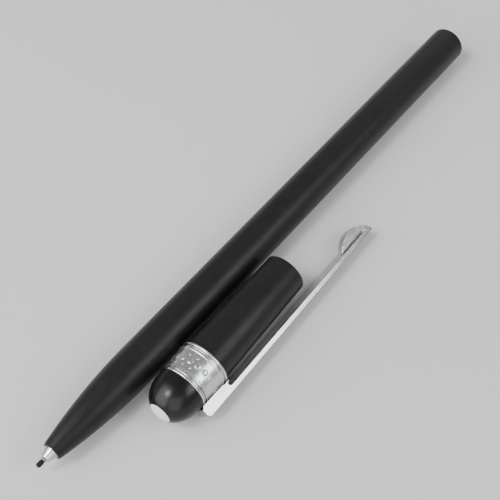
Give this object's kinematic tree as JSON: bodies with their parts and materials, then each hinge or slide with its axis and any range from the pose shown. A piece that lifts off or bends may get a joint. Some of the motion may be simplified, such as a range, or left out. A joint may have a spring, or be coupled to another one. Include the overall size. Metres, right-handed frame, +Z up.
{
  "type": "capped fineliner pen",
  "caption": "Slim capped fineliner pen with a refill behind a screw-off front section, and a domed clip cap that pulls off and lies beside it.",
  "frame": {"origin": "middle of the footprint, on the table that pen and cap lie on", "axes": "+X along the pen to the writing tip, +Y across to the side where the cap lies, +Z up"},
  "size_m": [0.14, 0.0218, 0.011],
  "materials": {
    "black_lacquer": "satin black lacquer on drawn metal tube",
    "thread_brass": "turned",
    "white_plastic": "moulded",
    "blue_plastic": "moulded",
    "ink_fibre": "ink-soaked fibre rod",
    "spring_steel": "drawn wire and strip",
    "cone_steel": "turned, bright",
    "nib_fibre": "sintered fibre, inked",
    "dark_plastic": "moulded",
    "ring_chrome": "polished, lightly worn",
    "clip_steel": "polished",
    "dome_resin": "glossy black resin",
    "ivory_resin": "ivory resin"
  },
  "bodies": {
    "barrel": {"barrel_tube": "black_lacquer", "end_plug": "black_lacquer", "thread_insert": "thread_brass", "spring_seat": "white_plastic", "refill_spring": "spring_steel"},
    "refill": {"refill_tube": "white_plastic", "refill_plug": "blue_plastic", "ink_reservoir": "ink_fibre", "nib_holder": "white_plastic", "nib_cone": "cone_steel", "nib_sleeve": "cone_steel", "fibre_nib": "nib_fibre"},
    "nose_section": {"nose_shell": "black_lacquer", "section_collar": "thread_brass"},
    "cap": {"cap_tube": "black_lacquer", "clutch_spring": "spring_steel", "inner_cap": "dark_plastic", "rear_bead_ring": "ring_chrome", "cap_band": "ring_chrome", "front_bead_ring": "ring_chrome", "cap_stud": "thread_brass", "dome": "dome_resin", "dome_inlay": "ivory_resin"},
    "clip": {"clip": "clip_steel"}
  },
  "joints": [
    {"name": "refill_advance", "type": "slide", "parent": "barrel", "child": "refill", "axis": [1, 0, 0], "range_m": [0, 0.00375], "deforming": ["refill_spring"]},
    {"name": "section_turn", "type": "hinge", "parent": "refill", "child": "nose_section", "pos_m": [0.0425, -0.00675, 0.00415], "axis": [1, 0, 0], "range_deg": [0, 1800]},
    {"name": "cap_slide", "type": "slide", "parent": "barrel", "child": "cap", "axis": [1, 0, 0], "range_m": [0, 0.065]},
    {"name": "clip_hinge", "type": "hinge", "parent": "cap", "child": "clip", "pos_m": [0.04324, 0.00822, 0.00263], "axis": [0.0084, -0.5358, -0.8443], "range_deg": [0, 3], "stiffness_Nm_per_rad": 0.4}
  ],
  "couplings": [
    {"joint": "section_turn", "follows": "refill_advance", "rad_per_m": 8377.6}
  ]
}
